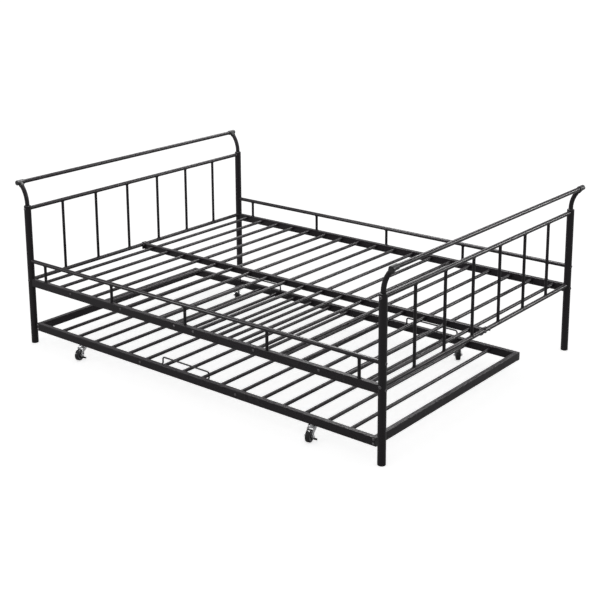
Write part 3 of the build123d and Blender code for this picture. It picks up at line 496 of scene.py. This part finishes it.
bolts = bmesh.new()
for side, sy in (("front", -1), ("back", 1)):
    low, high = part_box("side_rail_" + side)
    face = low.y if sy < 0 else high.y
    pitch = pitch_of("slats_front", 18)
    for number, count in enumerate(BOLTED_SLATS):
        seat = (count * pitch, face, centre_of("slats_front").z)
        stamp(bolts, slat_bolt, facing(seat, (0, sy, 0), spin=0.9 * number))
finish_piece("slat_bolts_with_sockets", bolts, bolt_black, "bed_frame", ["slat_bolts"])
bolts = bmesh.new()
for sx, sy in corners:
    low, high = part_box("tee_screws")
    seat = (sx * (high.x - TEE_HEAD_H * MM), sy * (high.y - TEE_HEAD_R * MM), centre_of("tee_screws").z)
    stamp(bolts, tee_screw, facing(seat, (sx, 0, 0), spin=sx + sy))
finish_piece("tee_screws_with_sockets", bolts, bolt_black, "bed_frame", ["tee_screws"])

# %% Bolts of the trundle
CORNER_BOLT_RISE = 9 * MM
front_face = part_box("trundle_front_rail")[0].y
back_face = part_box("trundle_back_rail")[1].y
end_x = abs(centre_of("trundle_head_rail").x)
mid_z = centre_of("trundle_front_rail").z
bolts = bmesh.new()
for face, sy in ((front_face, -1), (back_face, 1)):
    for number, (sx, sz) in enumerate(corners):
        seat = (sx * end_x, face, mid_z + sz * CORNER_BOLT_RISE)
        stamp(bolts, corner_bolt, facing(seat, (0, sy, 0), spin=1.3 * number))
finish_piece("corner_bolts_with_sockets", bolts, bolt_black, "trundle", ["trundle_corner_bolts"])
bolts = bmesh.new()
pitch = pitch_of("trundle_slats", 16)
for face, sy in ((front_face, -1), (back_face, 1)):
    for sx in (-1, 1):
        seat = (sx * 2.5 * pitch, face, centre_of("trundle_slats").z)
        stamp(bolts, slat_bolt, facing(seat, (0, sy, 0), spin=sx * 0.6))
finish_piece("trundle_slat_bolts_with_sockets", bolts, bolt_black, "trundle", ["trundle_slat_bolts"])

# %% [markdown]
# ## Where the mattress stops are welded on
#
# The three bent wires of the trundle come straight out of the rails' inner faces, and a small
# bead holds each leg. The ring of the spindles' beads serves again, made smaller and left flat,
# because a rail's face is flat.


# %% Beads on the mattress stops
welds = bmesh.new()
WIRE_R = 3.5
wire_bead = bead_pattern(WIRE_R, 0.0, 1.5, 9)
for stop, inwards in (("front", 1), ("back_head", -1), ("back_foot", -1)):
    low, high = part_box("mattress_stop_" + stop)
    face = low.y if inwards > 0 else high.y
    for x in (low.x + WIRE_R * MM, high.x - WIRE_R * MM):
        stamp(welds, wire_bead, facing((x, face, low.z + WIRE_R * MM), (0, inwards, 0)))
finish_piece("mattress_stop_weld_beads", welds, steel_black, "trundle", sharp=80)

# %% [markdown]
# ## Casters
#
# A small furniture caster is mostly pressed sheet. Its fork is one strip of steel, folded into
# an upside-down U over the wheel: wide and round on top where it swivels, narrow and leaning
# back where it holds the axle. A rib is pressed into each cheek to make it stiff. Folding one
# flat grid over the wheel keeps the steel in one sheet, as it is on the real one, and a
# Solidify and a Bevel then give it its thickness and soft edges.
#
# Above the fork sit two pressed cups that hold the swivel's balls, and a hexagon that is
# turned with a spanner. Everything is built once about the swivel's own axis, and placed with
# the position and the direction that the joints give.


# %% Where the casters are
WHEEL_R, TRAIL = 25.0, 24.0
CHEEK_IN, CHEEK_T, CROWN_Z, BOSS_R = 12.4, 2.0, 57.0, 8.0
joint_of = {joint["name"]: joint for joint in frame["joints"]}
casters = {}
for side in ("front", "back"):
    for end in ("head", "foot"):
        name = "caster_" + side + "_" + end
        swivel = joint_of[name + "_swivel"]["pos_m"]
        along = Vector(joint_of[name + "_roll"]["axis"])
        ahead = Vector((0, 0, 1)).cross(along)
        turn = Matrix((along, ahead, Vector((0, 0, 1)))).transposed().to_4x4()
        casters[name] = Matrix.Translation((swivel[0], swivel[1], 0)) @ turn
print("casters", sorted(casters))


# %% The folded fork
def smooth_step(value, low, high):
    share = min(max((value - low) / (high - low), 0.0), 1.0)
    return share * share * (3 - 2 * share)


def fork_outline(height):
    """Front and back edge of a cheek at a height, in millimetres from the swivel's axis."""
    share = smooth_step(height, WHEEL_R + 3, CROWN_Z - 7)
    middle = -TRAIL * (1 - share) - 1.5 * share
    half = BOSS_R + (15.5 - BOSS_R) * share
    if height < WHEEL_R:
        half = math.sqrt(max(BOSS_R**2 - (WHEEL_R - height) ** 2, 0.0))
        half = max(half, 1.2)
    return middle - half, middle + half


def fork_sheet():
    """The fork's mid sheet, folded from a grid: long way over the wheel, short way front to back."""
    form = bmesh.new()
    long_way, short_way = 64, 12
    bmesh.ops.create_grid(form, x_segments=long_way, y_segments=short_way, size=1.0)
    fold, half_gap = 5.0, CHEEK_IN + CHEEK_T / 2
    bottom, top = WHEEL_R - BOSS_R, CROWN_Z - CHEEK_T / 2
    leg = top - fold - bottom
    eye = leg * 0.3
    bend = fold * math.pi / 2
    flat = half_gap - fold
    for point in form.verts:
        side = 1 if point.co.x >= 0 else -1
        run = (1 - abs(point.co.x)) * (leg + bend + flat)
        if run <= leg:
            x, z = half_gap, bottom + run
            if run < eye:
                z = bottom + eye * (run / eye) ** 1.15  # closer rows round the axle's eye
        elif run <= leg + bend:
            angle = (run - leg) / fold
            x, z = half_gap - fold + fold * math.cos(angle), top - fold + fold * math.sin(angle)
        else:
            x, z = flat - (run - leg - bend), top
        front, rear = fork_outline(z if z < top - fold else top - fold)
        over_top = smooth_step(run, leg, leg + bend + flat)
        share = (point.co.y + 1) / 2
        y = front + (rear - front) * share
        rib = math.exp(-(((share - 0.5) / 0.17) ** 2)) * smooth_step(z, 31, 36) * (1 - smooth_step(z, 46, 51))
        boss = 0.8 * (1 - smooth_step(math.hypot(y + TRAIL, z - WHEEL_R), 5.0, 6.5))
        x += 1.3 * rib + boss * (1 if run < leg else 0)
        z += 0.8 * over_top
        point.co = Vector((side * x, y, z)) * MM
    return form


fork_pattern = pattern_of(fork_sheet())
print("fork sheet", len(fork_pattern.polygons), "faces")


# %% Cups, hexagon and stud
def caster_head():
    """The pressed cup under the rail, with its stem, as a solid of revolution."""
    cup = [(0, 57.4), (9, 57.4), (13.2, 57.6), (14.6, 58.4), (15.0, 59.4)]
    cup += [(14.4, 60.3), (12.6, 60.7), (8.0, 60.9)]
    stem = [(8.0, 61.0), (4.0, 61.2), (4.0, 79.4), (3.4, 80.0), (0, 80.0)]
    form = turned(cup + stem, 48)
    collar = bmesh.ops.create_circle(form, cap_ends=True, segments=6, radius=9.2 * MM)
    bmesh.ops.translate(form, vec=(0, 0, 60.6 * MM), verts=collar["verts"])
    floor_face = collar["verts"][0].link_faces[0]
    raised = bmesh.ops.extrude_face_region(form, geom=[floor_face])["geom"]
    bmesh.ops.translate(form, vec=(0, 0, 3.4 * MM), verts=[g for g in raised if isinstance(g, bmesh.types.BMVert)])
    hexagon = {edge for point in collar["verts"] for edge in point.link_edges}
    hexagon |= {edge for g in raised if isinstance(g, bmesh.types.BMVert) for edge in g.link_edges}
    edges = list(hexagon)
    bmesh.ops.bevel(form, geom=edges, offset=0.35 * MM, segments=2, profile=0.5, affect="EDGES", material=-1)
    return pattern_of(form)


def lower_cup():
    """The cup pressed into the top of the fork; the king pin's round head under it comes from king_pin."""
    rim = [(4.1, 56.0), (4.1, 57.0), (8.0, 57.1), (12.0, 56.6), (14.6, 55.8)]
    rim += [(15.6, 54.8), (15.8, 53.4), (15.2, 52.6)]
    inside = [(14.2, 52.8), (13.8, 54.0), (12.0, 54.9), (6.0, 55.3)]
    return turned(rim + inside, 48, close=True)


def king_pin():
    """The riveted pin that holds the fork to the cup above it."""
    head = [(0, 52.2), (4.0, 52.4), (6.2, 53.0), (6.6, 54.0), (6.0, 54.8)]
    return turned(head + [(3.9, 55.0), (3.9, 57.3), (0, 57.4)], 32)


heads = bmesh.new()
head_pattern = caster_head()
pin_pattern = pattern_of(king_pin())
for name, place in casters.items():
    upright = Matrix.Translation(place.translation)
    stamp(heads, head_pattern, upright)
    stamp(heads, pin_pattern, upright)
finish_piece("caster_heads", heads, zinc, "trundle", ["caster_stems"])
cup_pattern = pattern_of(lower_cup())

# %% [markdown]
# ## Wheels and axles
#
# A caster's wheel is moulded in one piece: a tread that is a little higher in the middle, a
# stepped side, and a hub that is wide enough to keep clear of the fork. A grey ring laid in
# the step of each side is a painted highlight of the glossy black plastic.
# A lathe shape like this could be cut from a cylinder with one tool after another. Drawing half
# of its section and spinning it gives every step at once, with no cuts to clean up.


# %% Wheels
def wheel_form():
    """The wheel about Z, with a crowned tread, a stepped side and a hub with a plain bore."""
    half = [
        (3.06, 12.1), (5.2, 12.1), (6.3, 11.7), (6.9, 10.8), (7.1, 8.6), (8.2, 7.4), (10.2, 7.1), (13.2, 7.1),
        (15.0, 7.5), (15.8, 8.6), (16.4, 9.5), (17.4, 9.9), (20.6, 9.9), (21.2, 9.75), (21.5, 9.2), (22.0, 9.2),
        (22.3, 9.7), (23.2, 9.3), (24.2, 8.2), (24.75, 6.6), (24.95, 3.6),
    ]
    profile = half + [(25.0, 0.0)] + [(r, -z) for r, z in reversed(half)]
    return turned(profile, 72, close=True)


def highlight_ring_form():
    """A thin grey ring in the step of the wheel's side, on both sides: a painted highlight of the glossy wheel."""
    form = bmesh.new()
    ring = [(17.4, 9.7), (17.8, 10.05), (20.2, 10.05), (20.6, 9.7)]
    data = pattern_of(turned(ring, 72, close=True))
    stamp(form, data, Matrix.Identity(4))
    stamp(form, data, Matrix.Rotation(math.pi, 4, "X"))
    return form


def axle_form(outer):
    """An axle about Z, with a washer and a hexagon at each end; outer is where a washer starts."""
    form = bmesh.new()
    shaft = [(0, -outer - 5.2), (2.4, -outer - 5.2), (3.0, -outer - 4.6), (3.0, outer + 4.8), (2.5, outer + 5.6)]
    stamp(form, pattern_of(turned(shaft + [(0, outer + 5.6)], 28)), Matrix.Identity(4))
    for side in (-1, 1):
        washer = [(3.05, outer), (6.0, outer), (6.2, outer + 0.2)]
        washer += [(6.2, outer + 0.6), (5.9, outer + 0.8), (3.05, outer + 0.8)]
        turn = Matrix.Identity(4) if side > 0 else Matrix.Rotation(math.pi, 4, "X")
        stamp(form, pattern_of(turned(washer, 32, close=True)), turn)
        nut = bmesh.new()
        bmesh.ops.create_cone(nut, cap_ends=True, segments=6, radius1=5.6 * MM, radius2=5.6 * MM, depth=3.6 * MM)
        edges = nut.edges[:]
        bmesh.ops.bevel(nut, geom=edges, offset=0.5 * MM, segments=3, profile=0.5, affect="EDGES", material=-1)
        bmesh.ops.translate(nut, vec=(0, 0, (outer + 0.8 + 1.8) * MM), verts=nut.verts)
        stamp(form, pattern_of(nut), turn)
    return form


wheel_pattern, highlight_ring_pattern = pattern_of(wheel_form()), pattern_of(highlight_ring_form())
print("wheel", len(wheel_pattern.polygons), "faces, painted highlight ring", len(highlight_ring_pattern.polygons))

# %% [markdown]
# ## The brake pedals
#
# Only the two front casters have a brake. It is a small black lever on the axle, outside the
# fork, with a tab that sticks out for a toe. Its plate is drawn as an outline and pulled to its
# thickness. The tab is a bar with rows of edges across it, so that it can curl up and narrow
# towards its end, and its edges are rounded last.


# %% The pedal's shape
def pedal_form():
    """A lever with an eye round the axle and a curved toe tab, in the caster's own frame."""
    form = bmesh.new()
    inner, thick, eye, lean = 14.6, 1.6, 6.4, math.radians(-56)
    tab_out, tab_thick, tab_wide = 13.6, 1.7, 8.8
    outline = []
    for step in range(13):
        angle = math.pi / 2 + step / 12 * math.pi
        outline.append((eye * math.cos(angle), eye * math.sin(angle)))
    outline += [(6.0, -5.2), (14.4, -4.4), (15.8, -3.4), (15.8, 3.4), (14.4, 4.4), (6.0, 5.2)]
    points = [form.verts.new((inner * MM, u * MM, v * MM)) for u, v in outline]
    plate = form.faces.new(points)
    bmesh.ops.extrude_face_region(form, geom=[plate])
    top = [v for v in form.verts if v not in points]
    bmesh.ops.translate(form, vec=(thick * MM, 0, 0), verts=top)
    tab = bmesh.new()
    bmesh.ops.create_cube(tab, size=1.0)
    bmesh.ops.scale(tab, vec=(tab_out * MM, tab_thick * MM, tab_wide * MM), verts=tab.verts)
    lengthways = [e for e in tab.edges if abs(e.verts[0].co.x - e.verts[1].co.x) > MM]
    bmesh.ops.subdivide_edges(tab, edges=lengthways, cuts=8)
    for point in tab.verts:
        share = point.co.x / (tab_out * MM) + 0.5
        point.co.y += 2.2 * MM * share**2
        point.co.z *= 1 - 0.18 * share**3
    sharp = [e for e in tab.edges if len(e.link_faces) == 2 and e.calc_face_angle(0) > 0.6]
    bmesh.ops.bevel(tab, geom=sharp, offset=0.5 * MM, segments=2, profile=0.5, affect="EDGES", material=-1)
    stamp(form, pattern_of(tab), Matrix.Translation(((inner + tab_out / 2) * MM, 15.0 * MM, 0)))
    settle = Matrix.Translation((0, -TRAIL * MM, WHEEL_R * MM)) @ Matrix.Rotation(lean, 4, "X")
    bmesh.ops.transform(form, matrix=settle, verts=form.verts)
    return form


# %% Put the casters together
def thicken(made, thickness):
    """Gives a sheet its thickness and soft edges with two modifiers that stay live."""
    wall = made.modifiers.new("wall", "SOLIDIFY")
    wall.thickness, wall.offset = thickness, 0.0
    soften = made.modifiers.new("soften", "BEVEL")
    soften.width, soften.segments, soften.limit_method = 0.5 * MM, 2, "ANGLE"


PEDAL_ROOM = 2.0  # what the pedal's plate takes up between the fork and the axle's washer
lie_down = Matrix.Rotation(math.pi / 2, 4, "Y")
for name, place in casters.items():
    has_brake = "front" in name
    axle_place = place @ Matrix.Translation((0, -TRAIL * MM, WHEEL_R * MM)) @ lie_down
    fork = bmesh.new()
    stamp(fork, fork_pattern, place)
    made = finish_piece(name + "_pressed_fork", fork, zinc, name + "_swivel", [name + "_fork"], sharp=50)
    thicken(made, CHEEK_T * MM)
    cup = bmesh.new()
    stamp(cup, cup_pattern, place)
    finish_piece(name + "_lower_cup", cup, zinc, name + "_swivel")
    axle = bmesh.new()
    outer = CHEEK_IN + CHEEK_T + (PEDAL_ROOM if has_brake else 0.0)
    stamp(axle, pattern_of(axle_form(outer)), axle_place)
    finish_piece(name + "_axle_and_nuts", axle, zinc, name + "_swivel", [name + "_axle"])
    wheel = bmesh.new()
    stamp(wheel, wheel_pattern, axle_place)
    finish_piece(name + "_moulded_wheel", wheel, plastic_wheel, name + "_wheel", [name + "_wheel"])
    # A grey ring on both sides of each wheel, painted on as the wheel's highlight.
    ring = bmesh.new()
    stamp(ring, highlight_ring_pattern, axle_place)
    finish_piece(name + "_wheel_ring", ring, painted_highlight_grey, name + "_wheel")
    if has_brake:
        pedal = pedal_form()
        bmesh.ops.transform(pedal, matrix=place, verts=pedal.verts)
        finish_piece(name + "_toe_pedal", pedal, plastic_black, name + "_pedal", [name + "_pedal"])

# %% [markdown]
# ## Floor, light and camera
#
# The floor is one pale sheet. Four soft lamps hang round the bed. The strongest one is above
# it: a long soft lamp over a round black tube leaves the narrow grey streak along its top that
# shows it is round.
#
# Black paint on a white floor is hard to show: a floor bright enough to look white fills the
# paint with grey reflections. A studio solves it by lighting the floor and the thing on it
# apart. Here the lamps skip the floor, which has a white glow of its own that only the camera
# sees, and the steel reflects the lamps and a dim grey room.


# %% Studio
STUDIO_GLOW = 0.45  # the room's brightness as the steel sees it
STUDIO_WHITE = 1.02  # the room's brightness as the camera sees it
FLOOR_WHITE = 0.71  # the floor's own glow, for the camera only
LAMP_TARGET = (0.0, 0.0, 0.3)
bpy.context.scene.view_settings.view_transform = "Standard"


def floor_sheet():
    paint = Paint("pale studio floor")
    paint.set(Base_Color=paint.between(paint.noise(0.8), (0.84, 0.84, 0.84), (0.88, 0.88, 0.88)))
    paint.set(Roughness=0.9, Specular_IOR_Level=0.1)
    seen = paint.node("ShaderNodeLightPath", {}, {}).out("Is Camera Ray")
    paint.set(Emission_Color=paint.between(seen, (0.0, 0.0, 0.0), (1.0, 1.0, 1.0)))
    paint.set(Emission_Strength=FLOOR_WHITE)
    form = bmesh.new()
    bmesh.ops.create_grid(form, x_segments=8, y_segments=8, size=30.0)
    data = bpy.data.meshes.new("studio_floor")
    form.to_mesh(data)
    form.free()
    data.materials.append(paint.material)
    sheet = bpy.data.objects.new("studio_floor", data)
    bpy.context.scene.collection.objects.link(sheet)
    return sheet


def soft_lamp(name, place, size, power):
    lamp = bpy.data.lights.new(name, "AREA")
    lamp.shape = "RECTANGLE"
    lamp.size, lamp.size_y = size
    lamp.energy = power
    holder = bpy.data.objects.new(name, lamp)
    bpy.context.scene.collection.objects.link(holder)
    holder.location = place
    holder.visible_camera = False
    holder.light_linking.receiver_collection = unlit
    holder.rotation_euler = (Vector(LAMP_TARGET) - Vector(place)).to_track_quat("-Z", "Y").to_euler()
    print(name, power, "watts")


floor = floor_sheet()
unlit = bpy.data.collections.new("not lit by the lamps")
unlit.objects.link(floor)
unlit.collection_objects[0].light_linking.link_state = "EXCLUDE"
soft_lamp("lamp_over", (-0.6, 0.2, 3.4), (0.7, 2.4), 170.0)
soft_lamp("lamp_behind", (-1.4, 3.4, 3.4), (2.6, 0.8), 60.0)
soft_lamp("lamp_back_right", (3.4, 4.2, 1.9), (0.7, 0.7), 60.0)
soft_lamp("lamp_front_left", (-3.4, -4.2, 2.1), (0.8, 0.8), 90.0)

# %% The white surroundings
world = bpy.data.worlds.new("studio")
world.use_nodes = True
tree = world.node_tree
seen = tree.nodes.new("ShaderNodeLightPath").outputs["Is Camera Ray"]
brightness = tree.nodes.new("ShaderNodeMapRange")
brightness.inputs["To Min"].default_value = STUDIO_GLOW
brightness.inputs["To Max"].default_value = STUDIO_WHITE
tree.links.new(seen, brightness.inputs["Value"])
tree.links.new(brightness.outputs["Result"], tree.nodes["Background"].inputs["Strength"])
tree.nodes["Background"].inputs["Color"].default_value = (1.0, 1.0, 1.0, 1.0)
bpy.context.scene.world = world
print("room", STUDIO_GLOW, "for the steel,", STUDIO_WHITE, "for the camera")

# %% [markdown]
# ## The camera
#
# The view is from above the front corner of the footboard, through a long lens. Tilting a
# camera down makes upright posts lean towards each other. A view camera avoids that by sliding
# its lens instead, and the shift here does the same, so the posts stay nearly upright.

# %% Camera
camera_data = bpy.data.cameras.new("view")
camera_data.sensor_width = 36.0
camera_data.lens = 72.294
camera_data.shift_x = 28 / 600
camera_data.shift_y = -130 / 600
camera_data.clip_end = 100.0
camera = bpy.data.objects.new("view", camera_data)
bpy.context.scene.collection.objects.link(camera)
camera.location = (3.262, -4.026, 2.037)
azimuth, elevation, roll = (math.radians(a) for a in (40.13, 13.16, -0.61))
level = Vector((math.sin(azimuth), -math.cos(azimuth), 0.0))
back = level * math.cos(elevation) + Vector((0, 0, math.sin(elevation)))
right = (-back).cross(Vector((0, 0, 1))).normalized()
up = right.cross(-back)
tilted_right = right * math.cos(roll) + up * math.sin(roll)
tilted_up = up * math.cos(roll) - right * math.sin(roll)
turn = Matrix((tilted_right, tilted_up, back)).transposed()
camera.rotation_euler = turn.to_euler()
bpy.context.scene.camera = camera
print("lens", round(camera_data.lens, 1), "mm")
